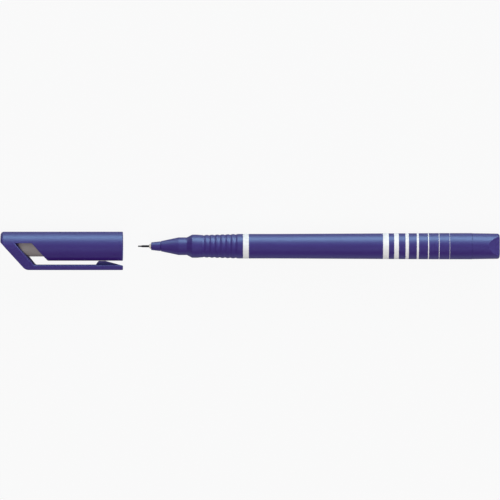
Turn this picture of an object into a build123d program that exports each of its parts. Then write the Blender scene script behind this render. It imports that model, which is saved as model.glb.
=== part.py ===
from build123d import *
import math
import os

# A fineliner pen with a sprung writing tip, lying in line with its pulled-off cap.
# Millimetres. The writing point is the origin, +X runs along the pen to its tail,
# +Z is up from the table and the clip of the cap points to -Y.

# Lengths along the pen, from the writing point to the tail
nib_exposed = 1.3
tube_exposed = 2.8
collar_proud = 0.75
bush_length = 3.65
cone_length = 6.5
neck_length = 3.1
shoulder_length = 1.95
grip_length = 18.75
barrel_length = 84.8
plug_length = 10.2

# Diameters that show
nib_diameter = 0.5
collar_front_diameter = 1.3
stem_diameter = 1.9
bush_front_diameter = 2.86
cone_front_diameter = 3.8
neck_diameter = 6.54
shoulder_diameter = 8.58
waist_diameter = 8.3
barrel_front_diameter = 9.08
barrel_rear_diameter = 9.7

# Fits and clearances, all radial or end gaps
press_gap = 0.02
slip_gap = 0.05
stop_gap = 0.03
flange_gap = 0.15

# Grooves around the grip
groove_count = 7
groove_depth = 0.2
groove_width = 1.2
grip_front_land = 3.4
grip_rear_land = 1.7

# Barrel
barrel_wall = 0.9
straight_front = 12.3
straight_rear = 11.5
rib_count = 4
rib_thickness = 0.8
seam_break = 0.12
bead_height = 0.15
bead_width = 1.0

# Inside of the grip section
nose_wall = 0.5
bush_step = 0.08
bush_spigot_length = 4.5
bush_rounding = 0.3
neck_wall = 0.9
chamber_length = 10.0
shank_length = 9.0
shank_wall = 0.5

# Sprung tip
tip_travel = 0.8
tube_wall = 0.13
tube_inset = 5.0
tube_crimp = 0.4
crimp_lip = 0.07
nib_point = 0.2
flange_thickness = 1.0
tail_wall = 0.33
tail_proud = 0.4
wick_diameter = 1.5
wick_inset = 5.0
seat_sleeve = 3.0
seat_flange = 1.2
spring_wire = 0.3
spring_turns = 6

# Ink store
film_thickness = 0.1
front_space = 0.6
rear_space = 0.3

# Tail plug
spigot_length = 7.0
spigot_wall = 0.7
hollow_depth = 3.5
plug_step = 0.05
plug_draft = 0.15
plug_rounding = 0.9
facet_length = 4.2
facet_angle = 25.0

# Cap tube and its slanted end
cap_apart = 5.6
cap_end_cover = 9.11
cap_clearance = 0.17
cap_wall = 0.66
mouth_gap = 0.1
end_flat_height = 1.45
slant_angle = 48.0
arm_thickness = 3.9
window_run = 6.05
window_top = 1.1
window_rounding = 0.25
cap_end_rounding = 1.2
mouth_rounding = 0.3
edge_rounding = 0.2

# Clip
clip_gap = 1.41
clip_thickness = 2.04
clip_tip_thickness = 1.62
clip_foot_width = 5.2
clip_bend_rounding = 2.8
clip_root_rounding = 0.8
clip_end_rounding = 0.3
nub_width = 2.4
nub_from_mouth = 6.4
nub_top = 2.6
nub_rise_run = 1.0
nub_rounding = 0.5
nub_gap = 0.06
flex_from_root = 3.6
flex_radius = 1.6

# Inner cap
liner_clearance = 0.09
liner_wall = 0.45
liner_flange = 1.2
liner_lip = 0.7
liner_lead = 0.2
point_clearance = 0.75

# Stations along the pen
tube_front = nib_exposed
collar_front = tube_front + tube_exposed
nose_front = collar_front + collar_proud
bush_rear = nose_front + bush_length
cone_rear = bush_rear + cone_length
neck_rear = cone_rear + neck_length
shoulder_rear = neck_rear + shoulder_length
barrel_front = shoulder_rear + grip_length
barrel_rear = barrel_front + barrel_length
tail_end = barrel_rear + plug_length

# Fits that follow from the outside sizes
barrel_bore = barrel_front_diameter - 2 * barrel_wall
shank_diameter = barrel_bore - 2 * press_gap
rear_bore = shank_diameter - 2 * shank_wall
wrap_diameter = rear_bore - 2 * slip_gap
reservoir_diameter = wrap_diameter - 2 * film_thickness
plug_front_diameter = barrel_rear_diameter - 2 * plug_step
plug_rear_diameter = plug_front_diameter - 2 * plug_draft
bush_rear_diameter = cone_front_diameter - 2 * bush_step
tube_diameter = nib_diameter + 2 * (press_gap + tube_wall)
tail_diameter = wick_diameter + 2 * (press_gap + tail_wall)
nose_bore = cone_front_diameter - 2 * nose_wall
chamber_diameter = neck_diameter - 2 * neck_wall
flange_front = cone_rear + stop_gap
flange_rear = flange_front + flange_thickness
tube_rear = collar_front + tube_inset
chamber_rear = cone_rear + chamber_length
seat_front = chamber_rear - seat_sleeve
seat_rear = chamber_rear + seat_flange
holder_rear = seat_rear + tail_proud
reservoir_front = holder_rear + tip_travel + front_space
wick_rear = reservoir_front + wick_inset
spigot_front = barrel_rear - spigot_length
reservoir_rear = spigot_front - rear_space
shank_rear = barrel_front + shank_length

# Cap positions with the cap pulled off, and the travel that closes it
cap_travel = cap_apart + barrel_front - mouth_gap
cap_mouth = -cap_apart
cap_bore = barrel_front_diameter + 2 * cap_clearance
cap_diameter = cap_bore + 2 * cap_wall
cap_radius = cap_diameter / 2
clip_inner = cap_radius + clip_gap
clip_outer = clip_inner + clip_thickness
arm_run = arm_thickness / math.sin(math.radians(slant_angle))
liner_bore = neck_diameter + 2 * liner_clearance
liner_diameter = liner_bore + 2 * liner_wall
liner_mouth = neck_rear - stop_gap - cap_travel
liner_step = liner_mouth - liner_lip - liner_flange
dome_center = liner_bore / 2 - point_clearance - cap_travel
cap_end = dome_center - cap_end_cover
cap_length = cap_mouth - cap_end
beyond = cap_length


def turned(*outline):
    """Solid of revolution about the pen's axis from (station, radius) points."""
    return revolve(make_face(Polyline(*outline, close=True)), Axis.X)


def rod(start, end, diameter):
    """Plain round bar on the pen's axis."""
    radius = diameter / 2
    return turned((start, 0), (end, 0), (end, radius), (start, radius))


def rims(solid, station):
    """Circular edges of a turned piece at one station."""
    circles = solid.edges().filter_by(GeomType.CIRCLE)
    return [edge for edge in circles if abs(edge.arc_center.X - station) < stop_gap / 2]


def outer_rim(solid, station):
    """Largest circular edge at one station."""
    return max(rims(solid, station), key=lambda edge: edge.radius)


def bead(station, diameter, height):
    """Snap ring with sloping flanks around a spigot."""
    radius = diameter / 2
    half = bead_width / 2
    top = half - height
    return turned(
        (station - half, 0),
        (station + half, 0),
        (station + half, radius),
        (station + top, radius + height),
        (station - top, radius + height),
        (station - half, radius),
    )


# Where the snap rings of the grip shank and the tail plug sit in the barrel
shank_bead = shank_rear - bead_width
plug_bead = spigot_front + bead_width


def make_barrel():
    """Tapered moulded tube with inner ribs that center the ink store."""
    front = barrel_front_diameter / 2
    rear = barrel_rear_diameter / 2
    body = turned(
        (barrel_front, 0),
        (barrel_rear, 0),
        (barrel_rear, rear),
        (barrel_rear - straight_rear, rear),
        (barrel_front + straight_front, front),
        (barrel_front, front),
    )
    body = chamfer(outer_rim(body, barrel_front), seam_break / 2)
    body = fillet(outer_rim(body, barrel_rear), seam_break)
    body -= rod(barrel_front, barrel_rear, barrel_bore)
    body -= bead(shank_bead, barrel_bore, bead_height)
    body -= bead(plug_bead, barrel_bore, bead_height)
    rib_front = shank_rear + bead_width
    rib_rear = spigot_front - bead_width
    rib_inner = wrap_diameter / 2 + slip_gap
    rib_outer = barrel_bore / 2 + barrel_wall / 2
    rib_height = rib_outer - rib_inner
    rib = Box(rib_rear - rib_front, rib_height, rib_thickness)
    rib = Pos((rib_front + rib_rear) / 2, rib_inner + rib_height / 2, 0) * rib
    for index in range(rib_count):
        body += Rot(X=index * 360 / rib_count) * rib
    return body


def grip_outline():
    """Upper edge of the ribbed grip, from the shoulder to the barrel."""
    start = shoulder_rear + grip_front_land
    end = barrel_front - grip_rear_land
    pitch = (end - start) / groove_count
    waist = waist_diameter / 2
    rear = barrel_front_diameter / 2
    rise = rear - waist

    def crest(station):
        return waist + rise * (station - start) / (end - start)

    half = groove_width / 2
    shoulder = (shoulder_rear, shoulder_diameter / 2)
    land = (shoulder_rear + grip_front_land / 2, shoulder_diameter / 2)
    here = (start, waist)
    lines = [Line(shoulder, land), Line(land, here)]
    for index in range(groove_count):
        middle = start + pitch * (index + 1 / 2)
        near = (middle - half, crest(middle - half))
        deep = (middle, crest(middle) - groove_depth)
        far = (middle + half, crest(middle + half))
        lines += [Line(here, near), ThreePointArc(near, deep, far)]
        here = far
    last = (end, rear)
    return lines + [Line(here, last), Line(last, (barrel_front, rear))]


def make_grip_section():
    """Cone, neck, shoulder and ribbed grip in one moulding, its shank in the barrel."""
    neck = neck_diameter / 2
    cone = (bush_rear, cone_front_diameter / 2)
    shoulder = (shoulder_rear, shoulder_diameter / 2)
    nose = Polyline((bush_rear, 0), cone, (cone_rear, neck), (neck_rear, neck), shoulder)
    grip_end = (barrel_front, barrel_front_diameter / 2)
    shank = shank_diameter / 2
    tail = Polyline(
        grip_end, (barrel_front, shank), (shank_rear, shank), (shank_rear, 0), (bush_rear, 0)
    )
    outline = [*nose.edges(), *grip_outline(), *tail.edges()]
    body = revolve(make_face(outline), Axis.X)
    body = fillet(rims(body, neck_rear) + rims(body, shoulder_rear), seam_break * 2)
    body = chamfer(outer_rim(body, barrel_front), seam_break / 2)
    body = fillet(outer_rim(body, bush_rear), seam_break)
    body += bead(shank_bead, shank_diameter, bead_height)
    body -= rod(bush_rear, cone_rear, nose_bore)
    body -= rod(cone_rear, chamber_rear, chamber_diameter)
    body -= rod(chamber_rear, shank_rear, rear_bore)
    return body


def make_nose_bush():
    """Front bearing of the sliding tip, its spigot pressed into the cone."""
    front = bush_front_diameter / 2
    rear = bush_rear_diameter / 2
    spigot = nose_bore / 2 - press_gap
    spigot_rear = bush_rear + bush_spigot_length
    bush = turned(
        (nose_front, 0),
        (nose_front, front),
        (bush_rear, rear),
        (bush_rear, spigot),
        (spigot_rear, spigot),
        (spigot_rear, 0),
    )
    bush = fillet(outer_rim(bush, nose_front), bush_rounding)
    return bush - rod(nose_front, spigot_rear, stem_diameter + 2 * slip_gap)


def make_nib():
    """Porous core with a rounded writing point."""
    nib = rod(0, flange_rear, nib_diameter)
    return fillet(rims(nib, 0), nib_point)


def make_nib_tube():
    """Thin metal tube, closed in around the nib at its front edge."""
    radius = tube_diameter / 2
    edge = nib_diameter / 2 + press_gap + crimp_lip
    tube = turned(
        (tube_front, 0),
        (tube_front, edge),
        (tube_front + tube_crimp, radius),
        (tube_rear, radius),
        (tube_rear, 0),
    )
    return tube - rod(tube_front, tube_rear, nib_diameter + 2 * press_gap)


def make_nib_holder():
    """Slider that carries nib, tube and wick, with a flange that the spring pushes on."""
    stem = stem_diameter / 2
    flange = chamber_diameter / 2 - flange_gap
    tail = tail_diameter / 2
    holder = turned(
        (collar_front, 0),
        (collar_front, collar_front_diameter / 2),
        (nose_front, stem),
        (flange_front, stem),
        (flange_front, flange),
        (flange_rear, flange),
        (flange_rear, tail),
        (holder_rear, tail),
        (holder_rear, 0),
    )
    holder -= rod(collar_front, tube_rear, tube_diameter + 2 * press_gap)
    holder -= rod(tube_rear, flange_rear, nib_diameter + 2 * press_gap)
    return holder - rod(flange_rear, holder_rear, wick_diameter + 2 * press_gap)


def make_ink_wick():
    """Fibre rod from the back of the nib into the ink store."""
    return rod(flange_rear, wick_rear, wick_diameter)


def make_spring_seat():
    """Sleeve that backs the spring and guides the tail of the holder."""
    sleeve = rod(seat_front, chamber_rear, chamber_diameter - 2 * press_gap)
    flange = rod(chamber_rear, seat_rear, rear_bore - 2 * press_gap)
    return sleeve + flange - rod(seat_front, seat_rear, tail_diameter + 2 * slip_gap)


def spring_path(first, last, radius):
    """Helix from quarter-turn pairs of arcs that share their tangents."""
    pitch = (last - first) / spring_turns

    def point(turn):
        angle = 2 * math.pi * turn
        return Vector(first + pitch * turn, radius * math.cos(angle), radius * math.sin(angle))

    def heading(turn):
        angle = 2 * math.pi * turn
        around = 2 * math.pi * radius
        across = Vector(pitch, -around * math.sin(angle), around * math.cos(angle))
        return across.normalized()

    arcs = []
    for quarter in range(4 * spring_turns):
        begin, end = point(quarter / 4), point((quarter + 1) / 4)
        leave, arrive = heading(quarter / 4), heading((quarter + 1) / 4)
        span = end - begin
        along = span.dot(leave + arrive)
        bend = 2 * (1 - leave.dot(arrive))
        reach = (math.sqrt(along**2 + bend * span.dot(span)) - along) / bend
        near, far = begin + leave * reach, end - arrive * reach
        joint = (near + far) / 2
        arcs.append(Edge.make_tangent_arc(begin, leave, joint))
        arcs.append(Edge.make_tangent_arc(joint, (far - near).normalized(), end))
    return arcs


def spring_least_gap(arcs):
    """Least clear space between neighbouring turns, measured on points."""
    points = [arc @ share for arc in arcs for share in (0, 1 / 2)]
    half_turn = len(points) // spring_turns // 2
    distances = [
        (one - other).length
        for index, one in enumerate(points)
        for other in points[index + half_turn :]
    ]
    return min(distances) - spring_wire


def make_tip_spring():
    """Coil spring between the holder's flange and the seat."""
    radius = (tail_diameter + chamber_diameter) / 4
    first = flange_rear + spring_wire / 2 + stop_gap
    last = seat_front - spring_wire / 2 - stop_gap
    arcs = spring_path(first, last, radius)
    print("tip_spring least gap", round(spring_least_gap(arcs), 2))
    section = Plane(origin=arcs[0] @ 0, z_dir=arcs[0] % 0) * Circle(spring_wire / 2)
    return sweep(section, path=Wire(arcs))


def make_ink_reservoir():
    """Fibre rod that stores the ink, pierced at its front for the wick."""
    pierced = wick_rear + tip_travel + front_space
    store = rod(reservoir_front, reservoir_rear, reservoir_diameter)
    return store - rod(reservoir_front, pierced, wick_diameter + 2 * slip_gap)


def make_reservoir_wrap():
    """Plastic film rolled around the fibre rod."""
    wrap = rod(reservoir_front, reservoir_rear, wrap_diameter)
    return wrap - rod(reservoir_front, reservoir_rear, reservoir_diameter)


def make_tail_plug():
    """End plug snapped into the barrel, with one slanted flat near its end."""
    front = plug_front_diameter / 2
    rear = plug_rear_diameter / 2
    spigot = barrel_bore / 2 - press_gap
    plug = turned(
        (spigot_front, 0),
        (spigot_front, spigot),
        (barrel_rear, spigot),
        (barrel_rear, front),
        (tail_end, rear),
        (tail_end, 0),
    )
    plug = fillet(outer_rim(plug, barrel_rear), seam_break)
    plug = fillet(outer_rim(plug, tail_end), plug_rounding)
    plug += bead(plug_bead, 2 * spigot, bead_height)
    hollow_rear = barrel_rear + hollow_depth
    plug -= rod(spigot_front, hollow_rear, 2 * (spigot - spigot_wall))
    facet_top = rear + plug_draft * facet_length / plug_length
    start = Pos(tail_end - facet_length, 0, facet_top)
    knife = Pos(0, 0, plug_length / 2) * Box(4 * plug_length, 4 * front, plug_length)
    return plug - start * Rot(Y=facet_angle) * knife


def slant(height, run):
    """Station of a slanted plane of the cap's end, at a height above the axis."""
    rise = math.tan(math.radians(slant_angle))
    return cap_end + run + (end_flat_height - height) / rise


# Clip positions below the axis, its nub and the point about which the bar flexes
clip_root = slant(-clip_inner, arm_run)
nub_rear = cap_mouth - nub_from_mouth
nub_front = nub_rear - nub_top
nub_height = -(cap_radius + nub_gap)
ramp_end = clip_tip_thickness - clip_outer
ramp_slope = (ramp_end - nub_height) / (cap_mouth - nub_rear)
ramp_foot = nub_rear - (clip_inner + nub_height) / ramp_slope
flex_station = clip_root + flex_from_root
flex_height = -(clip_inner + clip_outer) / 2


def side_view(*outline):
    """Flat outline of the cap as seen from above."""
    return make_face(Polyline(*outline, close=True))


def corner(view, spot):
    """Corner of a flat outline that lies nearest to a spot."""
    return view.vertices().sort_by_distance((*spot, 0))[0]


def through(view, width):
    """Flat outline carried to the same depth on both sides of the axis."""
    return extrude(view, amount=width / 2, both=True)


def keel():
    """End view of the cap carried along it: its circle, and flanks tangent to the circle."""
    foot = clip_foot_width / 2
    away = math.hypot(foot, clip_outer)
    angle = math.acos(cap_radius / away) - math.atan2(clip_outer, foot)
    side = cap_radius * math.cos(angle)
    low = cap_radius * math.sin(angle)
    flanks = Polyline(
        (low, side), (-clip_outer, foot), (-clip_outer, -foot), (low, -side), close=True
    )
    view = Plane.YZ.offset(cap_end) * (Circle(cap_radius) + make_face(flanks))
    solid = extrude(view, amount=cap_length)
    return fillet(outer_rim(solid, cap_end), cap_end_rounding)


def make_arm_and_bar():
    """Slanted arm at the cap's end, and the bar of the clip that runs back from it."""
    heel = (slant(-clip_outer, 0), -clip_outer)
    root = (clip_root, -clip_inner)
    tip = (cap_mouth, -clip_outer)
    view = side_view(
        (slant(end_flat_height, 0), end_flat_height),
        (slant(end_flat_height, arm_run), end_flat_height),
        root,
        (ramp_foot, -clip_inner),
        (cap_mouth, ramp_end),
        tip,
        heel,
    )
    view = fillet(corner(view, heel), clip_bend_rounding)
    view = fillet(corner(view, root), clip_root_rounding)
    view = fillet(corner(view, tip), clip_end_rounding)
    return through(view, beyond) & keel()


def make_nub():
    """Wedge under the bar that grips cloth, steep in front and with a long lead-in."""
    foot = nub_front - nub_rise_run
    view = side_view(
        (foot, -clip_inner),
        (nub_front, nub_height),
        (nub_rear, nub_height),
        (ramp_foot, -clip_inner),
        (ramp_foot, flex_height),
        (foot, flex_height),
    )
    view = fillet(corner(view, (nub_front, nub_height)), nub_rounding)
    return through(view, nub_width)


def make_window():
    """Slanted opening across the cap, between its tube and its arm."""
    far = arm_run + window_run
    left = (slant(window_top, arm_run), window_top)
    right = (slant(window_top, far), window_top)
    low = -clip_inner
    view = side_view(left, right, (slant(low, far), low), (clip_root, low))
    view = fillet(corner(view, left), window_rounding)
    view = fillet(corner(view, right), window_rounding)
    return through(view, beyond)


def lengthwise(solid, height):
    """Straight edges along the cap at one height."""
    edges = solid.edges().filter_by(Axis.X)
    return [edge for edge in edges if abs(edge.center().Y - height) < stop_gap / 2]


def make_moulding():
    """Whole outside of the cap, one moulding: tube, arm, bar and nub."""
    low = -2 * clip_outer
    waste = side_view(
        (cap_end - beyond, end_flat_height),
        (cap_end, end_flat_height),
        (slant(low, 0), low),
        (cap_end - beyond, low),
    )
    tube = rod(cap_end, cap_mouth, cap_diameter)
    tube = fillet(outer_rim(tube, cap_end), cap_end_rounding)
    tube = fillet(outer_rim(tube, cap_mouth), mouth_rounding)
    tube = tube - through(waste, beyond) - make_window()
    whole = tube + make_arm_and_bar()
    whole = fillet(lengthwise(whole, -clip_outer), edge_rounding)
    whole = fillet(lengthwise(whole, -clip_inner), edge_rounding)
    return whole + make_nub()


def flex_zone(radius):
    """Space of the flexing bar: all of it past the pivot, with a round end about the pivot."""
    top = -(cap_radius + nub_gap / 2)
    past = Box(beyond, clip_outer, beyond)
    past = Pos(flex_station + beyond / 2, top - clip_outer / 2, 0) * past
    return past + Pos(flex_station, flex_height, 0) * Cylinder(radius, beyond)


def make_cap_clip():
    """Flexing bar of the clip, with the nub that grips cloth against the cap."""
    return make_moulding() & flex_zone(flex_radius - slip_gap)


def make_cap_body():
    """Tube of the cap, its slanted end arm and the stub that carries the clip."""
    body = make_moulding() - flex_zone(flex_radius)
    seat = liner_diameter + 2 * press_gap
    body -= rod(dome_center, liner_step, seat)
    body -= Pos(dome_center, 0, 0) * Sphere(seat / 2)
    return body - rod(liner_step, cap_mouth, cap_bore)


def make_cap_liner():
    """Inner cap that seals around the neck and keeps the nib from drying."""
    liner = rod(dome_center, liner_mouth, liner_diameter)
    liner += Pos(dome_center, 0, 0) * Sphere(liner_diameter / 2)
    liner += rod(liner_step, liner_step + liner_flange, cap_bore - 2 * press_gap)
    liner -= rod(dome_center, liner_mouth, liner_bore)
    liner -= Pos(dome_center, 0, 0) * Sphere(liner_bore / 2)
    mouth = min(rims(liner, liner_mouth), key=lambda edge: edge.radius)
    return chamfer(mouth, liner_lead)


makers = {
    "barrel": make_barrel,
    "grip_section": make_grip_section,
    "nose_bush": make_nose_bush,
    "nib": make_nib,
    "nib_tube": make_nib_tube,
    "nib_holder": make_nib_holder,
    "ink_wick": make_ink_wick,
    "spring_seat": make_spring_seat,
    "tip_spring": make_tip_spring,
    "ink_reservoir": make_ink_reservoir,
    "reservoir_wrap": make_reservoir_wrap,
    "tail_plug": make_tail_plug,
    "cap_body": make_cap_body,
    "cap_clip": make_cap_clip,
    "cap_liner": make_cap_liner,
}

os.makedirs("parts", exist_ok=True)
for name, make in makers.items():
    export_step(make(), f"parts/{name}.step")
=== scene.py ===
import math

import bmesh
import bpy
from mathutils import Matrix, Vector


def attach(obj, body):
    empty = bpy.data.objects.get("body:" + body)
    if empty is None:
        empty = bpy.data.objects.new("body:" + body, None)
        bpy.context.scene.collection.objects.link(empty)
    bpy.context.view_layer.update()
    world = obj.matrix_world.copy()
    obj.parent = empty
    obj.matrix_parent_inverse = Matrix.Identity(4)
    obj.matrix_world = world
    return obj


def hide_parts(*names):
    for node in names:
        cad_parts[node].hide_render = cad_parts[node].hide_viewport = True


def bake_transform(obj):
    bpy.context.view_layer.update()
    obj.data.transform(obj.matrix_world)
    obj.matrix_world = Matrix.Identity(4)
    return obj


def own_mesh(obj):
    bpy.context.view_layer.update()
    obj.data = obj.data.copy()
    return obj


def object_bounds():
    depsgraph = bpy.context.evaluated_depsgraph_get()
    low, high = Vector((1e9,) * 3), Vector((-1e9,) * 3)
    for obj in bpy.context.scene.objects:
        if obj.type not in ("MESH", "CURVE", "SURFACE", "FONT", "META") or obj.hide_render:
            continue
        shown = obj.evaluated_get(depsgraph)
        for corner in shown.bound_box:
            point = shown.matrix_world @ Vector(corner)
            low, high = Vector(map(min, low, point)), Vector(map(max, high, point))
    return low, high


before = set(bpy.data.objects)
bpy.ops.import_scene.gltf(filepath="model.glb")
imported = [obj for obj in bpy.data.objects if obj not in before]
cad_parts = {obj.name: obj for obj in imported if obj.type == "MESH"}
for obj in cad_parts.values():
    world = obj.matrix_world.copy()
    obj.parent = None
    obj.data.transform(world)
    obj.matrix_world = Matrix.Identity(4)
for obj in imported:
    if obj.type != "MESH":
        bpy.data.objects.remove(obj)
cad_low, cad_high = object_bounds()

# Barrel
# The pen's main tube, injection moulded in violet polypropylene, widening a little to the rear.
# Grip section and tail plug snap into its two ends. White rings of screen ink are printed on it.
mm = 0.001
violet, violet_streak, violet_glare = "391A6A", "3E1F74", "ADDEFF"
flow_length, flow_width, peel_size = 14.0, 1.6, 0.6
ring_white, ring_roughness = "EFEEEB", 0.95
wide_rings = ((38.86, 41.0), (90.6, 92.73))
fine_ring_first, fine_ring_pitch = 95.56, 3.94
fine_ring_widths = (1.7, 1.2, 0.75, 0.36, 0.18, 0.09)
ink_shift, ink_grains_per_mm = 0.008, 6.0
mix_share, mix_first, mix_second, mix_result = 0, 6, 7, 2  # sockets of a Mix node that mixes colours


def linear(code):
    """Linear colour of an sRGB hex value."""
    parts = [int(code[place : place + 2], 16) / 255 for place in (0, 2, 4)]
    return (*(p / 12.92 if p <= 0.04045 else ((p + 0.055) / 1.055) ** 2.4 for p in parts), 1)


def put(tree, kind, settings, inputs):
    """Adds a node with its settings; an input is a value, or an output to link."""
    made = tree.nodes.new(kind)
    for key, value in settings.items():
        setattr(made, key, value)
    for key, value in inputs.items():
        if isinstance(value, bpy.types.NodeSocket):
            tree.links.new(value, made.inputs[key])
        else:
            made.inputs[key].default_value = value
    return made


def finish_named(name):
    """New material with an empty tree, its surface shader and Object coordinates in millimetres."""
    material = bpy.data.materials.new(name)
    material.use_nodes = True
    tree = material.node_tree
    tree.nodes.clear()
    shader = put(tree, "ShaderNodeBsdfPrincipled", {}, {})
    put(tree, "ShaderNodeOutputMaterial", {}, {"Surface": shader.outputs[0]})
    place = put(tree, "ShaderNodeTexCoord", {}, {}).outputs["Object"]
    scaled = put(tree, "ShaderNodeVectorMath", {"operation": "SCALE"}, {"Vector": place, "Scale": 1 / mm})
    return material, tree, shader, scaled.outputs[0]


def streaks(tree, place, length, width, detail):
    """Pattern of streaks along the pen, with their length and width in millimetres."""
    stretch = (1 / length, 1 / width, 1 / width)
    along = put(tree, "ShaderNodeMapping", {}, {"Vector": place, "Scale": stretch})
    noise = put(tree, "ShaderNodeTexNoise", {}, {"Vector": along.outputs[0], "Scale": 1.0, "Detail": detail})
    return noise.outputs[0]


def surface(tree, shader, tones, roughness, relief=None):
    """Gives a shader colour and roughness that run between two values by a pattern, and a relief.

    Tones and roughness are (pattern, value, other value), relief is (pattern, strength, depth in mm)."""
    pattern, tone, other_tone = tones
    colour = put(
        tree,
        "ShaderNodeMix",
        {"data_type": "RGBA"},
        {mix_share: pattern, mix_first: linear(tone), mix_second: linear(other_tone)},
    ).outputs[mix_result]
    tree.links.new(colour, shader.inputs["Base Color"])
    pattern, low, high = roughness
    shine = put(tree, "ShaderNodeMapRange", {}, {"Value": pattern, "To Min": low, "To Max": high}).outputs[0]
    tree.links.new(shine, shader.inputs["Roughness"])
    if relief:
        pattern, strength, depth = relief
        bump = put(
            tree, "ShaderNodeBump", {}, {"Strength": strength, "Distance": depth * mm, "Height": pattern}
        )
        tree.links.new(bump.outputs[0], shader.inputs["Normal"])
    return colour, shine


def violet_polypropylene(name):
    """Moulded polypropylene, satin from a fine-eroded mould.

    Pigment streaks follow the flow along the pen, and the skin has a faint orange peel (0.15 mm on
    the real one, drawn at 0.6 mm so that it shows). The sheen is stronger than plain polypropylene's,
    so the IOR is raised from 1.49."""
    material, tree, shader, place = finish_named(name)
    flow = streaks(tree, place, flow_length, flow_width, detail=3.0)
    skin = put(tree, "ShaderNodeTexNoise", {}, {"Vector": place, "Scale": 1 / peel_size, "Detail": 2.0})
    colour, shine = surface(
        tree,
        shader,
        tones=(flow, violet, violet_streak),
        roughness=(flow, 0.42, 0.50),
        relief=(skin.outputs[0], 0.08, 0.02),
    )
    shader.inputs["IOR"].default_value = 1.75
    shader.inputs["Specular IOR Level"].default_value = 1.0
    shader.inputs["Specular Tint"].default_value = linear(violet_glare)
    return material, tree, shader, place, colour, shine


def coat(node, material):
    """Gives a CAD node its finish."""
    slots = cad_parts[node].data.materials
    slots.clear()
    slots.append(material)


# Screen ink lies on the skin as flat white rings: matt, and a little ragged along their edges.
printed, tree, shader, place, colour, shine = violet_polypropylene("printed_polypropylene")
ragged = put(tree, "ShaderNodeTexNoise", {}, {"Vector": place, "Scale": ink_grains_per_mm, "Detail": 2.0})
shift = put(
    tree, "ShaderNodeMapRange", {}, {"Value": ragged.outputs[0], "To Min": -ink_shift, "To Max": ink_shift}
)
along = put(tree, "ShaderNodeSeparateXYZ", {}, {"Vector": place})
station = put(tree, "ShaderNodeMath", {"operation": "ADD"}, {0: along.outputs[0], 1: shift.outputs[0]})
rings = [((low + high) / 2, (high - low) / 2) for low, high in wide_rings]
for index, width in enumerate(fine_ring_widths):
    rings.append((fine_ring_first + fine_ring_pitch * index, width / 2))
inked = 0.0
for middle, half in rings:
    ring = put(tree, "ShaderNodeMath", {"operation": "COMPARE"}, {0: station.outputs[0], 1: middle, 2: half})
    inked = put(tree, "ShaderNodeMath", {"operation": "MAXIMUM"}, {0: inked, 1: ring.outputs[0]}).outputs[0]
cover = put(
    tree,
    "ShaderNodeMix",
    {"data_type": "RGBA"},
    {mix_share: inked, mix_first: colour, mix_second: linear(ring_white)},
)
gloss = put(tree, "ShaderNodeMix", {"data_type": "FLOAT"}, {"Factor": inked, "A": shine, "B": ring_roughness})
tree.links.new(cover.outputs[mix_result], shader.inputs["Base Color"])
tree.links.new(gloss.outputs[0], shader.inputs["Roughness"])
coat("barrel", printed)

# Tail plug
# A hollow end cap in the same violet polypropylene, pressed into the rear of the barrel until a
# small bead on its spigot snaps home. One slanted flat is moulded on the side that faces up.
plug_outline = [
    (116.6, 3.62, 0.2),
    (117.2, 3.62),
    (117.6, 3.77, 0.2),
    (118.0, 3.62),
    (123.6, 3.62),
    (123.6, 4.80, 0.12),
    (133.8, 4.65, 0.9),
    (133.8, 0),
    (127.1, 0),
    (127.1, 2.92, 0.3),
    (116.6, 2.92, 0.1),
]
flat_start, flat_slope = (129.6, 0, 4.712), math.radians(25)
flat_edge, edge_segments = 0.12, 3
arc_step, fewest_steps = math.radians(9), 2
on_axis, same_point = 1e-6, 0.0005
crease = math.radians(35)


def softened(outline):
    """Points of a closed outline of (along, out, rounding), with each rounding drawn as an arc."""
    points = []
    for index, (along, out, *rounding) in enumerate(outline):
        corner = Vector((along, out))
        if not rounding:
            points.append(corner)
            continue
        before = (Vector(outline[index - 1][:2]) - corner).normalized()
        after = (Vector(outline[(index + 1) % len(outline)][:2]) - corner).normalized()
        half = before.angle(after) / 2
        turn = math.pi - 2 * half
        middle = corner + (before + after).normalized() * rounding[0] / math.sin(half)
        first = corner + before * rounding[0] / math.tan(half) - middle
        last = corner + after * rounding[0] / math.tan(half) - middle
        steps = max(fewest_steps, math.ceil(turn / arc_step))
        for count in range(steps + 1):
            share = turn * count / steps
            points.append(middle + (first * math.sin(turn - share) + last * math.sin(share)) / math.sin(turn))
    return points


def turned(outline, sides=128, left_out=()):
    """Solid of revolution about the pen's axis, in millimetres, without the corners that are left out."""
    shape = bmesh.new()
    angles = [math.tau * index / sides for index in range(sides) if index not in left_out]
    rings = []
    for point in softened(outline):
        if point.y < on_axis:
            rings.append([shape.verts.new((point.x, 0, 0))])
        else:
            circle = [(point.x, point.y * math.cos(angle), point.y * math.sin(angle)) for angle in angles]
            rings.append([shape.verts.new(spot) for spot in circle])
    for one, two in zip(rings, rings[1:] + rings[:1]):
        for index in range(len(angles) if len(one) + len(two) > 2 else 0):
            after = index + 1
            corners = [one[index % len(one)], one[after % len(one)]]
            corners += [two[after % len(two)], two[index % len(two)]]
            shape.faces.new(dict.fromkeys(corners))
    bmesh.ops.remove_doubles(shape, verts=shape.verts[:], dist=same_point)
    bmesh.ops.recalc_face_normals(shape, faces=shape.faces[:])
    return shape


def placed(name, data):
    """New object in the scene that holds a mesh, a lamp or a camera."""
    made = bpy.data.objects.new(name, data)
    bpy.context.scene.collection.objects.link(made)
    return made


def as_object(name, shape):
    """New object in the scene out of a shape, which is used up."""
    mesh = bpy.data.meshes.new(name)
    shape.to_mesh(mesh)
    shape.free()
    return placed(name, mesh)


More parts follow.
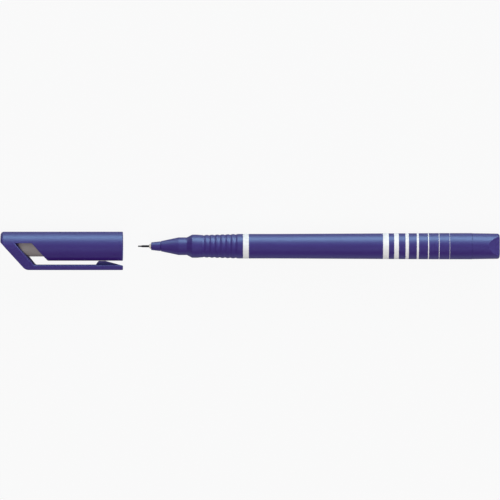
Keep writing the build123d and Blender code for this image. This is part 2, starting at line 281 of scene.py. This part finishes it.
def in_metres(name, shape, material):
    """Finished piece from a shape in millimetres, smooth but for its creases."""
    made = as_object(name, shape)
    made.data.transform(Matrix.Scale(mm, 4))
    made.data.shade_smooth()
    made.data.set_sharp_from_angle(angle=crease)
    made.data.materials.append(material)
    evened = made.modifiers.new("even_shading", "WEIGHTED_NORMAL")
    evened.keep_sharp = True
    return made


plain_violet = violet_polypropylene("moulded_polypropylene")[0]
plug = turned(plug_outline)
every = plug.verts[:] + plug.edges[:] + plug.faces[:]
flat_facing = (math.sin(flat_slope), 0, math.cos(flat_slope))
cut = bmesh.ops.bisect_plane(plug, geom=every, plane_co=flat_start, plane_no=flat_facing, clear_outer=True)
rim = [part for part in cut["geom_cut"] if isinstance(part, bmesh.types.BMEdge)]
bmesh.ops.edgeloop_fill(plug, edges=rim)
bmesh.ops.bevel(
    plug, geom=rim, offset=flat_edge, segments=edge_segments, profile=0.5, affect="EDGES", clamp_overlap=True
)
bmesh.ops.recalc_face_normals(plug, faces=plug.faces[:])
end_plug = in_metres("end_plug", plug, plain_violet)
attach(end_plug, "pen")
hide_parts("tail_plug")

# Ink reservoir
# A rod of bundled polyester fibre that holds the ink by capillary force, soaked through with violet
# ink. It is rolled in a clear polypropylene film, left open at both ends, and pushed into the barrel.
ink_dark, ink_light = "120E33", "2C2560"
fibre_length, fibre_width = 6.0, 0.25
film_clear, film_stained = "E9ECF0", "B9B2DA"
stain_size = 5.0
# Polyester fibres run lengthwise, wet and dull; 0.02 mm thick, drawn at 0.25 mm so that they show.
soaked, tree, shader, place = finish_named("ink_soaked_polyester_fibre")
fibres = streaks(tree, place, fibre_length, fibre_width, detail=4.0)
surface(
    tree,
    shader,
    tones=(fibres, ink_dark, ink_light),
    roughness=(fibres, 0.45, 0.8),
    relief=(fibres, 0.5, 0.05),
)
shader.inputs["IOR"].default_value = 1.57
coat("ink_reservoir", soaked)
# Clear rolled film: see-through and glossy, with a violet stain where ink has crept along it.
film, tree, shader, place = finish_named("rolled_polypropylene_film")
creep = put(
    tree, "ShaderNodeTexNoise", {}, {"Vector": place, "Scale": 1 / stain_size, "Detail": 3.0}
).outputs[0]
surface(tree, shader, tones=(creep, film_clear, film_stained), roughness=(creep, 0.08, 0.25))
shader.inputs["IOR"].default_value = 1.49
shader.inputs["Transmission Weight"].default_value = 1.0
coat("reservoir_wrap", film)

# Grip section
# The front moulding that the fingers hold: cone, neck, shoulder and a waisted grip with seven round
# grooves, in violet polypropylene. A long spigot with a snap bead goes into the barrel.
grip_front, grip_rear = (23.45, 4.15), (37.1, 4.54)
grip_rings = 140
groove_sizes = {
    "First groove": 24.425,
    "Pitch": 1.95,
    "Count": 7.0,
    "Width": 1.5,
    "Depth": 0.2,
    "Skin radius": 3.9,
}
grip_skin = []
for index in range(grip_rings + 1):
    share = index / grip_rings
    grip_skin.append([front + (rear - front) * share for front, rear in zip(grip_front, grip_rear)])
grip_outline = [
    (8.5, 1.90, 0.12),
    (15.0, 3.27, 2.0),
    (18.1, 3.27, 0.24),
    (20.05, 4.29, 0.24),
    (21.75, 4.29, 0.6),
    *grip_skin,
    (38.8, 4.54, 0.06),
    (38.8, 3.62),
    (46.3, 3.62),
    (46.8, 3.77, 0.3),
    (47.3, 3.62),
    (47.8, 3.62, 0.1),
    (47.8, 3.12, 0.1),
    (25.0, 3.12),
    (25.0, 2.37),
    (15.0, 2.37),
    (15.0, 1.40),
    (8.5, 1.40, 0.1),
]


def sockets(tree, start, sizes, finish, result):
    """Gives a geometry tree inputs for its start, sizes and finish, and one output; returns the inputs."""
    tree.interface.new_socket(start, in_out="INPUT", socket_type="NodeSocketGeometry")
    for label in sizes:
        tree.interface.new_socket(label, in_out="INPUT", socket_type="NodeSocketFloat")
    tree.interface.new_socket(finish, in_out="INPUT", socket_type="NodeSocketMaterial")
    tree.interface.new_socket(result, in_out="OUTPUT", socket_type="NodeSocketGeometry")
    return put(tree, "NodeGroupInput", {}, {}).outputs


def applied(made):
    """Shape of an object with its modifiers applied."""
    evaluated = made.evaluated_get(bpy.context.evaluated_depsgraph_get())
    result = bmesh.new()
    result.from_mesh(bpy.data.meshes.new_from_object(evaluated))
    return result


def shaped(name, shape, tree, values):
    """Plain mesh shape that a geometry tree makes from a starting shape."""
    blank = as_object(name, shape)
    nodes = blank.modifiers.new(name, "NODES")
    nodes.node_group = tree
    for item in tree.interface.items_tree:
        if item.name in values:
            nodes[item.identifier] = values[item.name]
    result = applied(blank)
    bpy.data.objects.remove(blank)
    return result


# Every point of the skin sinks towards the axis by a bowl-shaped share of the depth of its nearest groove.
tree = bpy.data.node_groups.new("cut_round_grooves", "GeometryNodeTree")
given = sockets(tree, "Blank", groove_sizes, "Plastic", "Grip")
spot = put(tree, "GeometryNodeInputPosition", {}, {}).outputs[0]
parts = put(tree, "ShaderNodeSeparateXYZ", {}, {"Vector": spot}).outputs
from_first = put(
    tree, "ShaderNodeMath", {"operation": "SUBTRACT"}, {0: parts[0], 1: given["First groove"]}
).outputs[0]
nearest = put(tree, "ShaderNodeMath", {"operation": "DIVIDE"}, {0: from_first, 1: given["Pitch"]}).outputs[0]
nearest = put(tree, "ShaderNodeMath", {"operation": "ROUND"}, {0: nearest}).outputs[0]
last = put(tree, "ShaderNodeMath", {"operation": "SUBTRACT"}, {0: given["Count"], 1: 1.0}).outputs[0]
nearest = put(tree, "ShaderNodeClamp", {}, {"Value": nearest, "Min": 0.0, "Max": last}).outputs[0]
centre = put(tree, "ShaderNodeMath", {"operation": "MULTIPLY"}, {0: nearest, 1: given["Pitch"]}).outputs[0]
off = put(tree, "ShaderNodeMath", {"operation": "SUBTRACT"}, {0: from_first, 1: centre}).outputs[0]
off = put(tree, "ShaderNodeMath", {"operation": "DIVIDE"}, {0: off, 1: given["Width"]}).outputs[0]
off = put(tree, "ShaderNodeMath", {"operation": "MULTIPLY"}, {0: off, 1: 2.0}).outputs[0]
square = put(tree, "ShaderNodeMath", {"operation": "MULTIPLY"}, {0: off, 1: off}).outputs[0]
bowl = put(
    tree, "ShaderNodeMath", {"operation": "SUBTRACT", "use_clamp": True}, {0: 1.0, 1: square}
).outputs[0]
bowl = put(tree, "ShaderNodeMath", {"operation": "POWER"}, {0: bowl, 1: 2.0}).outputs[0]
cut = put(tree, "ShaderNodeMath", {"operation": "MULTIPLY"}, {0: bowl, 1: given["Depth"]}).outputs[0]
sideways = put(tree, "ShaderNodeCombineXYZ", {}, {"Y": parts[1], "Z": parts[2]}).outputs[0]
radius = put(tree, "ShaderNodeVectorMath", {"operation": "LENGTH"}, {"Vector": sideways}).outputs["Value"]
outer = put(
    tree, "ShaderNodeMath", {"operation": "GREATER_THAN"}, {0: radius, 1: given["Skin radius"]}
).outputs[0]
cut = put(tree, "ShaderNodeMath", {"operation": "MULTIPLY"}, {0: cut, 1: outer}).outputs[0]
inward = put(tree, "ShaderNodeMath", {"operation": "MULTIPLY"}, {0: cut, 1: -1.0}).outputs[0]
outward = put(tree, "ShaderNodeVectorMath", {"operation": "NORMALIZE"}, {"Vector": sideways}).outputs[0]
offset = put(
    tree, "ShaderNodeVectorMath", {"operation": "SCALE"}, {"Vector": outward, "Scale": inward}
).outputs[0]
grooved = put(tree, "GeometryNodeSetPosition", {}, {"Geometry": given["Blank"], "Offset": offset}).outputs[0]
whole = put(tree, "GeometryNodeRealizeInstances", {}, {"Geometry": grooved}).outputs[0]
coated = put(
    tree, "GeometryNodeSetMaterial", {}, {"Geometry": whole, "Material": given["Plastic"]}
).outputs[0]
put(tree, "NodeGroupOutput", {}, {"Grip": coated})
grip = shaped("grip_blank", turned(grip_outline), tree, {**groove_sizes, "Plastic": plain_violet})
ribbed_grip = in_metres("ribbed_grip", grip, plain_violet)
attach(ribbed_grip, "pen")
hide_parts("grip_section")

# Nose bush
# The small cone in front of the grip section, a separate violet moulding pressed into its bore. It
# guides the holder of the nib, so that the tip can give way straight back.
bush_outline = [
    (4.85, 1.43, 0.3),
    (8.28, 1.797, 0.06),
    (8.5, 1.60, 0.04),
    (8.5, 1.38),
    (13.0, 1.38, 0.15),
    (13.0, 1.0, 0.05),
    (4.85, 1.0, 0.1),
]
front_bush = in_metres("front_bush", turned(bush_outline), plain_violet)
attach(front_bush, "pen")
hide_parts("nose_bush")

# Nib holder and spring seat
# Two round mouldings in ivory acetal, which slides without grease. The holder carries the nib and
# slides in the bush, and the seat is pressed into the grip section behind the spring.
holder_outline = [
    (4.1, 0.65, 0.1),
    (4.85, 0.95, 0.3),
    (15.03, 0.95),
    (15.03, 2.22, 0.1),
    (16.03, 2.22, 0.1),
    (16.03, 1.10),
    (26.6, 1.10, 0.15),
    (26.6, 0.77, 0.05),
    (16.03, 0.77),
    (16.03, 0.27),
    (9.1, 0.27),
    (9.1, 0.42),
    (4.1, 0.42, 0.05),
]
ivory, ivory_shade = "E1DCD1", "D3CCBC"
mottle_size, mark_pitch = 1.5, 0.1
wave_pitch = math.pi / 10  # of a Wave node with a scale of 1
# Acetal: pale, close-grained and slightly waxy, with a soft mottle and faint marks of the turned mould.
acetal, tree, shader, place = finish_named("moulded_acetal")
mottle = put(tree, "ShaderNodeTexNoise", {}, {"Vector": place, "Scale": 1 / mottle_size, "Detail": 3.0})
marks = put(
    tree, "ShaderNodeTexWave", {}, {"Vector": place, "Scale": wave_pitch / mark_pitch, "Distortion": 1.0}
).outputs["Fac"]
surface(
    tree,
    shader,
    tones=(mottle.outputs[0], ivory, ivory_shade),
    roughness=(marks, 0.38, 0.48),
    relief=(marks, 0.1, 0.01),
)
shader.inputs["IOR"].default_value = 1.48
tip_holder = in_metres("tip_holder", turned(holder_outline, sides=96), acetal)
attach(tip_holder, "tip")
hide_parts("nib_holder")
coat("spring_seat", acetal)

# Tip spring
# A small compression spring wound from bright steel wire, with closed ends, between the flange of the
# holder and the spring seat. It lets the nib give by 0.8 mm when the pen is pressed on paper.
spring_sizes = {
    "Turns": 6.0,
    "Mean radius": 1.735,
    "Wire radius": 0.15,
    "Length": 5.61,
    "Start": 16.21,
    "Closed share": 0.15,
}
points_per_turn, wire_sides = 48, 16
wire_bright, wire_dull = "B4B4B2", "84837F"
wire_line_size = 0.08
# Drawn steel wire: bright, with fine drawing lines (0.02 mm on the real one, drawn at 0.08 mm).
wire, tree, shader, place = finish_named("drawn_spring_steel")
lines = put(
    tree, "ShaderNodeTexNoise", {}, {"Vector": place, "Scale": 1 / wire_line_size, "Detail": 2.0}
).outputs[0]
surface(tree, shader, tones=(lines, wire_bright, wire_dull), roughness=(lines, 0.2, 0.4))
shader.inputs["Metallic"].default_value = 1.0
# A spiral, turned to lie along the pen, whose first and last turns rise by one wire each.
tree = bpy.data.node_groups.new("wind_spring", "GeometryNodeTree")
given = sockets(tree, "Start shape", spring_sizes, "Wire", "Spring")
coil = put(
    tree,
    "GeometryNodeCurveSpiral",
    {},
    {
        "Resolution": points_per_turn,
        "Rotations": given["Turns"],
        "Start Radius": given["Mean radius"],
        "End Radius": given["Mean radius"],
        "Height": given["Length"],
    },
).outputs[0]
spot = put(tree, "GeometryNodeInputPosition", {}, {}).outputs[0]
parts = put(tree, "ShaderNodeSeparateXYZ", {}, {"Vector": spot}).outputs
wound = put(tree, "GeometryNodeSplineParameter", {}, {}).outputs["Factor"]
closed_end = given["Closed share"]
open_end = put(tree, "ShaderNodeMath", {"operation": "SUBTRACT"}, {0: 1.0, 1: closed_end}).outputs[0]
wire_radius = given["Wire radius"]
closed_rise = put(tree, "ShaderNodeMath", {"operation": "MULTIPLY"}, {0: wire_radius, 1: 2.0}).outputs[0]
both_rises = put(tree, "ShaderNodeMath", {"operation": "MULTIPLY"}, {0: closed_rise, 1: 2.0}).outputs[0]
open_rise = put(
    tree, "ShaderNodeMath", {"operation": "SUBTRACT"}, {0: given["Length"], 1: both_rises}
).outputs[0]
stretches = (
    (0.0, closed_end, closed_rise),
    (closed_end, open_end, open_rise),
    (open_end, 1.0, closed_rise),
)
risen = 0.0
for begin, end, rise in stretches:
    stretch = put(
        tree,
        "ShaderNodeMapRange",
        {},
        {"Value": wound, "From Min": begin, "From Max": end, "To Min": 0.0, "To Max": rise},
    )
    risen = put(tree, "ShaderNodeMath", {"operation": "ADD"}, {0: risen, 1: stretch.outputs[0]}).outputs[0]
station = put(tree, "ShaderNodeMath", {"operation": "ADD"}, {0: risen, 1: given["Start"]}).outputs[0]
wire_line = put(tree, "ShaderNodeCombineXYZ", {}, {"X": station, "Y": parts[0], "Z": parts[1]}).outputs[0]
coil = put(tree, "GeometryNodeSetPosition", {}, {"Geometry": coil, "Position": wire_line}).outputs[0]
round_wire = put(
    tree, "GeometryNodeCurvePrimitiveCircle", {}, {"Resolution": wire_sides, "Radius": wire_radius}
).outputs[0]
drawn = put(
    tree, "GeometryNodeCurveToMesh", {}, {"Curve": coil, "Profile Curve": round_wire, "Fill Caps": True}
).outputs[0]
whole = put(tree, "GeometryNodeRealizeInstances", {}, {"Geometry": drawn}).outputs[0]
coated = put(tree, "GeometryNodeSetMaterial", {}, {"Geometry": whole, "Material": given["Wire"]}).outputs[0]
put(tree, "NodeGroupOutput", {}, {"Spring": coated})
coils = shaped("spring_start", bmesh.new(), tree, {**spring_sizes, "Wire": wire})
bmesh.ops.recalc_face_normals(coils, faces=coils.faces[:])
coil_spring = in_metres("coil_spring", coils, wire)
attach(coil_spring, "pen")
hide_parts("tip_spring")
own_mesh(coil_spring)

# Nib
# A porous plastic core that writes, in a thin drawn steel tube crimped to a cone at its front. Core
# and tube are pressed into the holder, and a fibre wick brings the ink to the core's rear end.
core_outline = [(0, 0), (0, 0.25, 0.12), (16.03, 0.25, 0.05), (16.03, 0)]
tube_outline = [
    (1.3, 0.34, 0.03),
    (1.7, 0.40, 0.3),
    (9.1, 0.40, 0.05),
    (9.1, 0.27),
    (1.3, 0.27, 0.02),
]
core_black, core_wet = "0E0D12", "1A1624"
pore_size = 0.06
steel_dark, steel_worn, steel_glare = "2E2D31", "4C4A4D", "A0A0A4"
die_line_length, die_line_width = 3.0, 0.1
# Sintered core full of ink: almost black, dull, with open pores (0.03 mm, drawn at 0.06 mm).
core, tree, shader, place = finish_named("porous_nib_plastic")
pores = put(
    tree, "ShaderNodeTexNoise", {}, {"Vector": place, "Scale": 1 / pore_size, "Detail": 2.0}
).outputs[0]
surface(
    tree,
    shader,
    tones=(pores, core_black, core_wet),
    roughness=(pores, 0.45, 0.75),
    relief=(pores, 0.3, 0.02),
)
nib_core_rod = in_metres("nib_core_rod", turned(core_outline, sides=48), core)
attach(nib_core_rod, "tip")
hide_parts("nib")
# Drawn stainless tube: dark and satin, with die lines along it (0.02 mm apart, drawn at 0.1 mm).
steel, tree, shader, place = finish_named("drawn_stainless_steel")
lines = streaks(tree, place, die_line_length, die_line_width, detail=3.0)
surface(
    tree,
    shader,
    tones=(lines, steel_dark, steel_worn),
    roughness=(lines, 0.2, 0.32),
    relief=(lines, 0.1, 0.01),
)
shader.inputs["Metallic"].default_value = 1.0
shader.inputs["Specular Tint"].default_value = linear(steel_glare)
needle_tube = in_metres("needle_tube", turned(tube_outline, sides=64), steel)
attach(needle_tube, "tip")
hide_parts("nib_tube")
coat("ink_wick", soaked)

# Cap and clip
# One violet polypropylene moulding: a tube with a slanted end, from which an arm runs down past a
# window to the clip bar. The bar bends at its root, and a nub near its tip presses on the cap.
cap_end, cap_mouth, cap_radius = -50.8, -5.6, 5.37
end_rounding, mouth_rounding = 1.2, 0.2
cap_sides, flank_corner = 129, 39  # the flanks of arm and bar start at that corner of the round
slant_angle, slant_top = math.radians(48), 1.45
arm_width, window_length = 3.9, 6.05
window_top, window_rounding = 1.1, 0.25
under_tube = -5.7
bar_inner, bar_outer, bar_half = -6.78, -8.82, 2.6
bar_tip, tip_slope_start = -7.2, -8.203  # height of the bar's end, and where the slope down to it starts
heel_rounding, root_rounding, tip_rounding = 2.8, 0.8, 0.3
nub_rear, nub_front, nub_foot, nub_half = -15.6, -6.94, -7.6, 1.2
wall_draft, wall_back = 0.24, 0.42  # slope of the window's wall on the arm, and how far it is set back
arm_lip, arm_lip_top, bar_lip = 0.55, 0.2, 1.0  # roundings of the inner edges of arm and bar
liner_seat, cap_bore = 3.83, 4.71
seat_centre, seat_step = -41.69, -28.13
edge_rounding = 0.15
bar_split, bar_cuts = -36.5, 10
slant_rise = math.tan(slant_angle)
arm_run = arm_width / math.sin(slant_angle)
window_run = arm_run + window_length


def slant(height, run):
    """Station of a line parallel to the slanted end, at a height across the cap."""
    return cap_end + run + (slant_top - height) / slant_rise


def lofted(layers):
    """Solid through layers of points, each with the same number of them."""
    shape = bmesh.new()
    rows = [[shape.verts.new(spot) for spot in layer] for layer in layers]
    shape.faces.new(rows[0])
    shape.faces.new(rows[-1])
    for one, two in zip(rows, rows[1:]):
        for index in range(len(one)):
            shape.faces.new((one[index - 1], one[index], two[index], two[index - 1]))
    bmesh.ops.recalc_face_normals(shape, faces=shape.faces[:])
    return shape


def plate(outline, half):
    """Solid of an outline drawn on the cap's side view, half its thickness to each side of the middle."""
    return lofted([[(p.x, p.y, z) for p in softened(outline)] for z in (-half, half)])


def joined(shape, other, operation):
    """One shape out of two, which are used up."""
    solids = [as_object("cap_stock", shape), as_object("cap_tool", other)]
    change = solids[0].modifiers.new("join", "BOOLEAN")
    change.object = solids[1]
    change.operation = operation
    change.solver = "EXACT"
    result = applied(solids[0])
    for solid in solids:
        bpy.data.objects.remove(solid)
    return result


# The tube is closed at both ends. Its corners beside the window's top edge are left out, against slivers.
beside_window = (28, 101)
tube = [
    (cap_end, 0),
    (cap_end, cap_radius, end_rounding),
    (cap_mouth, cap_radius, mouth_rounding),
    (cap_mouth, 0),
]
cap = turned(tube, cap_sides, left_out=beside_window)

# Arm and bar are cut from one wedge-shaped keel below the tube, with some stock to spare all round.
stock_spare, window_spare, bar_spare, keel_spare = 0.5, 1, 0.3, 3
arm_root, arm_half = -1, 7
keel_top, keel_top_half = 0.5, 3.5
flank_side = cap_radius * math.sin(math.tau * flank_corner / cap_sides)
flank_low = cap_radius * math.cos(math.tau * flank_corner / cap_sides)
flank_slope = (flank_side - bar_half) / (flank_low - bar_outer)
stock_low = bar_outer - stock_spare
profile = [
    (slant(arm_root, -stock_spare), arm_root),
    (slant(arm_root, arm_run + window_spare), arm_root),
    (slant(bar_inner + bar_spare, arm_run + window_spare), bar_inner + bar_spare),
    (tip_slope_start, bar_inner + bar_spare),
    (cap_mouth, bar_tip),
    (cap_mouth, stock_low),
    (slant(stock_low, -stock_spare), stock_low),
]
wedge_low = stock_low - stock_spare
wedge_half = bar_half - flank_slope * (bar_outer - wedge_low)
flanks = [
    (flank_low, flank_side),
    (wedge_low, wedge_half),
    (wedge_low, -wedge_half),
    (flank_low, -flank_side),
    (keel_top, -keel_top_half),
    (keel_top, keel_top_half),
]
keel_ends = (cap_end - keel_spare, cap_mouth + keel_spare)
keel = lofted([[(x, p.x, p.y) for p in softened(flanks)] for x in keel_ends])
arm = joined(plate(profile, arm_half), keel, "INTERSECT")
cap = joined(cap, arm, "UNION")

# The slanted end, the heel and the bar's outer side are cut to their line.
tool_reach, past_mouth, tool_half = 20, 9, 9
outside = [
    (cap_end - tool_reach, slant_top),
    (cap_end, slant_top),
    (slant(bar_outer, 0), bar_outer, heel_rounding),
    (cap_mouth, bar_outer, tip_rounding),
    (cap_mouth, bar_tip),
    (cap_mouth + past_mouth, bar_tip),
    (cap_mouth + past_mouth, -tool_reach),
    (cap_end - tool_reach, -tool_reach),
]
cap = joined(cap, plate(outside, tool_half), "DIFFERENCE")

# The window goes through from side to side. Its wall has a draft, and arm and bar have round lips on both
# sides, so its cutter is a loft of openings: in the middle, down the lips, and out past the skin.
lip_start, lip_slope, lip_turns = 0.03, 5, (0, 15, 30, 50, 65)
past_skin = 0.2
wall_steps = 8


def lip(rounding, depth):
    """How far a rounded edge has drawn back at a depth below its face, with a plain slope near the face."""
    if depth > rounding:
        return 0
    drawn_back = rounding - math.sqrt(rounding**2 - (rounding - max(depth, lip_start)) ** 2)
    return drawn_back + lip_slope * max(lip_start - depth, 0)


def opening(depth, side):
    """Window and the gap over the bar, as cut at a depth below the skin of one side, or in the middle."""

    def flank(y):
        return flank_side + flank_slope * (y - flank_low)

    def level(y):
        skin = flank(y) if y < flank_low else math.sqrt(cap_radius**2 - y**2)
        return side * (skin - depth)

    def wall(y):
        drafted = wall_draft * (flank(y) - abs(level(y))) - wall_back
        up = max(0, (y - flank_low) / (window_top - flank_low))
        rounding = arm_lip + (arm_lip_top - arm_lip) * up
        return slant(y, arm_run) + drafted - lip(rounding, depth) / math.sin(slant_angle)

    low = bar_inner - lip(bar_lip, depth)
    outline = [
        (wall(window_top), window_top),
        (slant(window_top, window_run), window_top, window_rounding),
        (slant(under_tube, window_run), under_tube),
        (cap_mouth + past_mouth, under_tube),
        (cap_mouth + past_mouth, low),
        (wall(low), low, root_rounding),
    ]
    round_part = window_top - flank_low
    heights = [flank_low + round_part * index / wall_steps for index in range(wall_steps)]
    outline += [(wall(height), height) for height in heights]
    return [(p.x, p.y, level(p.y)) for p in softened(outline)]


depths = [bar_lip * (1 - math.sin(math.radians(turn))) for turn in lip_turns] + [lip_start, -past_skin]
layers = [opening(depth, -1) for depth in reversed(depths)] + [opening(bar_lip, 0)]
layers += [opening(depth, 1) for depth in depths]
outermost = ((layers[0], -tool_half), (layers[-1], tool_half))
flat_ends = [[(x, y, z) for x, y, _ in layer] for layer, z in outermost]
cap = joined(cap, lofted([flat_ends[0], *layers, flat_ends[1]]), "DIFFERENCE")

# The nub stands on the bar, with a long ramp towards the tip.
nub_outline = [
    (nub_rear, bar_inner),
    (-14.6, -5.43, 0.5),
    (-12.0, -5.43, 0.4),
    (nub_front, bar_inner - 0.05),
    (nub_front, nub_foot),
    (nub_rear, nub_foot),
]
cap = joined(cap, plate(nub_outline, nub_half), "UNION")

# The hollow takes the inner cap up to its step, and the pen's grip in front of that.
axis_gap, mouth_spare = 0.0001, 1
hollow_beside_window = (26, 27, 102, 103)
hollow = [
    (seat_centre - liner_seat, 0),
    (seat_centre - liner_seat, liner_seat, liner_seat - axis_gap),
    (seat_step, liner_seat),
    (seat_step, cap_bore),
    (cap_mouth + mouth_spare, cap_bore),
    (cap_mouth + mouth_spare, 0),
]
cap = joined(cap, turned(hollow, cap_sides, left_out=hollow_beside_window), "DIFFERENCE")

# Outer edges are rounded, but not those of the hollow or of the end, which is round already.
merge_distance, flat_angle = 0.01, math.radians(0.6)
sharp_angle, hollow_reach, end_reach = math.radians(25), 4.0, 1.3
bmesh.ops.remove_doubles(cap, verts=cap.verts[:], dist=merge_distance)
bmesh.ops.dissolve_limit(cap, angle_limit=flat_angle, verts=cap.verts[:], edges=cap.edges[:])
rounded = []
for edge in cap.edges:
    middle = (edge.verts[0].co + edge.verts[1].co) / 2
    in_hollow = math.hypot(middle.y, middle.z) < hollow_reach
    at_end = middle.x <= cap_end + end_reach
    if edge.calc_face_angle_signed() > sharp_angle and not at_end and not in_hollow:
        rounded.append(edge)
bmesh.ops.bevel(
    cap,
    geom=rounded,
    offset=edge_rounding,
    segments=edge_segments,
    profile=0.5,
    affect="EDGES",
    clamp_overlap=False,
)

# The bar gets a cut every millimetre, and parts from the cap at the first one.
tube_low = -5.4
for index in range(bar_cuts):
    low_faces = [face for face in cap.faces if face.calc_center_median().y < tube_low]
    around = dict.fromkeys(part for face in low_faces for part in (face, *face.edges, *face.verts))
    bmesh.ops.bisect_plane(cap, geom=list(around), plane_co=(bar_split + index, 0, 0), plane_no=(1, 0, 0))
bmesh.ops.dissolve_degenerate(cap, edges=cap.edges[:], dist=same_point)
bar = cap.copy()
for shape, is_bar in ((cap, False), (bar, True)):
    unwanted = []
    for face in shape.faces:
        middle = face.calc_center_median()
        if (middle.x > bar_split and middle.y < tube_low) != is_bar:
            unwanted.append(face)
    bmesh.ops.delete(shape, geom=unwanted, context="FACES")
    bmesh.ops.holes_fill(shape, edges=[edge for edge in shape.edges if edge.is_boundary], sides=0)
cap_moulding = in_metres("cap_moulding", cap, plain_violet)
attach(cap_moulding, "cap")
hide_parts("cap_body")
clip_bar = in_metres("clip_bar", bar, plain_violet)
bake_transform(clip_bar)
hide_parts("cap_clip")

# Inner cap
# A grey polyethylene cup with a domed end and a flange, pressed into the cap. Its soft lip closes
# round the nose of the pen, so that the nib doesn't dry out; its dome shows in the window.
liner_radius, liner_bore = 3.81, 3.36
liner_outline = [
    (seat_centre - liner_radius, 0),
    (seat_centre - liner_radius, liner_radius, liner_radius - axis_gap),
    (seat_step, liner_radius),
    (seat_step, 4.69, 0.1),
    (-26.93, 4.69, 0.15),
    (-26.93, liner_radius, 0.1),
    (-26.23, liner_radius, 0.12),
    (-26.23, 3.56, 0.04),
    (-26.43, liner_bore, 0.1),
    (seat_centre - liner_bore, liner_bore, liner_bore - axis_gap),
    (seat_centre - liner_bore, 0),
]
grey, grey_warm = "8F8987", "857D7B"
cloud_size, scuff_size = 2.0, 0.3
# Polyethylene: soft, dull and a little cloudy, with fine scuffs from the mould.
polyethylene, tree, shader, place = finish_named("moulded_polyethylene")
cloud = put(
    tree, "ShaderNodeTexNoise", {}, {"Vector": place, "Scale": 1 / cloud_size, "Detail": 4.0}
).outputs[0]
scuffs = put(
    tree, "ShaderNodeTexNoise", {}, {"Vector": place, "Scale": 1 / scuff_size, "Detail": 2.0}
).outputs[0]
surface(
    tree,
    shader,
    tones=(cloud, grey, grey_warm),
    roughness=(cloud, 0.5, 0.65),
    relief=(scuffs, 0.15, 0.02),
)
shader.inputs["IOR"].default_value = 1.51
inner_cap = in_metres("inner_cap", turned(liner_outline), polyethylene)
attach(inner_cap, "cap")
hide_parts("cap_liner")

# Floor
# A plain sheet of white paper that pen and cap lie on, wide enough for every view. Most of the white that
# is seen is the sheet's own, and the rest comes from the lamps, so that a faint shadow stays.
floor_reach = 8.0
paper_shade = "A4A4A4"
seen_white, mirrored_white = 0.92, 0.08
floor_mesh = bpy.data.meshes.new("floor")
corners = ((-1, -1), (1, -1), (1, 1), (-1, 1))
floor_corners = [(x * floor_reach, y * floor_reach, cad_low.z) for x, y in corners]
floor_mesh.from_pydata(floor_corners, [], [(0, 1, 2, 3)])
floor = placed("floor", floor_mesh)
paper = bpy.data.materials.new("white_sheet")
paper.use_nodes = True
tree = paper.node_tree
tree.nodes.clear()
ray = put(tree, "ShaderNodeLightPath", {}, {}).outputs
seen = put(
    tree,
    "ShaderNodeMath",
    {"operation": "MAXIMUM"},
    {0: ray["Is Camera Ray"], 1: ray["Is Transmission Ray"]},
).outputs[0]
share = put(tree, "ShaderNodeMath", {"operation": "MULTIPLY"}, {0: seen, 1: seen_white}).outputs[0]
share = put(
    tree,
    "ShaderNodeMath",
    {"operation": "MULTIPLY_ADD"},
    {0: ray["Is Glossy Ray"], 1: mirrored_white, 2: share},
).outputs[0]
matte = put(tree, "ShaderNodeBsdfDiffuse", {}, {"Color": linear(paper_shade)}).outputs[0]
white = put(tree, "ShaderNodeEmission", {}, {"Color": (1, 1, 1, 1), "Strength": 1.0}).outputs[0]
mixed = put(tree, "ShaderNodeMixShader", {}, {0: share, 1: matte, 2: white}).outputs[0]
put(tree, "ShaderNodeOutputMaterial", {}, {"Surface": mixed})
floor_mesh.materials.append(paper)

# Light
# A wide softbox low beyond the pen, dimmer ones high beyond it and to the right, a broad one above and
# before it behind a polarising sheet, which keeps its glare off the plastic, and an even dim room.
lit_point = Vector((0.04, 0, 0))
room_tint, room_strength = (1.0, 0.96, 0.98, 1), 0.1


def softbox(name, size, power, tint, place):
    """Rectangular lamp that faces the pen."""
    lamp = bpy.data.lights.new(name, "AREA")
    lamp.shape = "RECTANGLE"
    lamp.size, lamp.size_y = size
    lamp.energy = power
    lamp.color = tint
    made = placed(name, lamp)
    made.location = place
    made.rotation_euler = (lit_point - made.location).to_track_quat("-Z", "Y").to_euler()
    return made


softbox("back_softbox", size=(1.4, 0.8), power=11.6, tint=(0.9, 0.97, 1.0), place=(0.3, 1.0, 0.32))
softbox("sky_softbox", size=(1.4, 0.7), power=1.0, tint=(0.6, 0.85, 1.0), place=(0.04, 0.6, 1.1))
softbox("right_softbox", size=(0.7, 0.7), power=2.8, tint=(0.85, 0.93, 1.0), place=(1.0, 0.6, 0.35))
top_softbox = softbox(
    "top_softbox", size=(1.2, 1.2), power=20.0, tint=(1.0, 0.98, 1.0), place=(0.04, -0.65, 1.45)
)
top_softbox.visible_glossy = False
room = bpy.data.worlds.new("room")
room.use_nodes = True
room.node_tree.nodes["Background"].inputs["Color"].default_value = room_tint
room.node_tree.nodes["Background"].inputs["Strength"].default_value = room_strength
bpy.context.scene.world = room
bpy.context.scene.view_settings.view_transform = "Standard"

# Camera
# Straight above pen and cap, far away with a long lens, so that there is hardly any perspective. The
# lens takes in a square as wide as both of them lie end to end, with a narrow margin.
view_centre, view_width = (0.04144, -0.0014), 0.185
camera_height = 2.2
sensor_width = 36.0
lens = bpy.data.cameras.new("camera")
lens.sensor_width = sensor_width
lens.lens = sensor_width * camera_height / view_width
camera = placed("camera", lens)
camera.location = (*view_centre, camera_height)
bpy.context.scene.camera = camera
